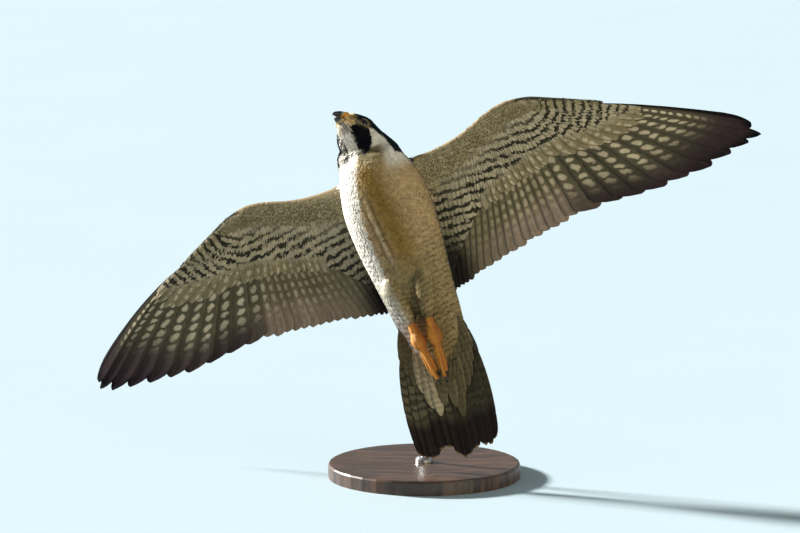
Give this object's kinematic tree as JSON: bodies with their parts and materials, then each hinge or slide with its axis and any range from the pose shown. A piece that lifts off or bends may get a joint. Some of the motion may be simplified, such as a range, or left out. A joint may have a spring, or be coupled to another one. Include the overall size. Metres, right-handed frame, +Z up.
{
  "type": "peregrine falcon in flight on a display stand",
  "caption": "Life-size still model of an adult male peregrine falcon in banked flight, wings spread, tail half fanned, feet folded back, on a round base with one rod.",
  "frame": {"origin": "centre of the underside of the stand's round base, on the surface that it stands on", "axes": "+Z up, +X towards the bird's left wing tip, -Y towards the side that its belly faces"},
  "size_m": [0.8129, 0.256, 0.4747],
  "materials": {
    "body_feathers": "soft cream-white and buff contour feathers with fine dark spots and bars, slate-grey above",
    "head_feathers": "short close feathers, blackish slate cap and moustache, white cheek and throat",
    "flight_feathers": "smooth stiff vanes, grey-brown barred with pale buff below, slate-blue barred above",
    "bare_skin": "yellow-orange scaly skin of the feet, and smooth yellow cere",
    "horn": "smooth dark horn of bill and claws, paler blue-grey at the bill's base",
    "eye": "wet, very dark brown eye",
    "wood": "dark stained, satin varnished hardwood",
    "steel": "brushed steel rod and collar"
  },
  "bodies": {
    "root": {"torso": "body_feathers", "neck": "head_feathers", "head": "head_feathers", "cere": "bare_skin", "bill_upper": "horn", "bill_lower": "horn", "eye_l": "eye", "eye_r": "eye", "tail": "flight_feathers", "wing_l_arm": "flight_feathers", "wing_l_hand": "flight_feathers", "wing_l_alula": "flight_feathers", "wing_r_arm": "flight_feathers", "wing_r_hand": "flight_feathers", "wing_r_alula": "flight_feathers", "leg_l_thigh": "body_feathers", "leg_l_tarsus": "bare_skin", "leg_l_foot": "bare_skin", "leg_l_claw_inner": "horn", "leg_l_claw_middle": "horn", "leg_l_claw_outer": "horn", "leg_l_claw_hind": "horn", "leg_r_thigh": "body_feathers", "leg_r_tarsus": "bare_skin", "leg_r_foot": "bare_skin", "leg_r_claw_inner": "horn", "leg_r_claw_middle": "horn", "leg_r_claw_outer": "horn", "leg_r_claw_hind": "horn", "stand_base": "wood", "stand_collar": "steel", "stand_rod": "steel"}
  },
  "joints": []
}
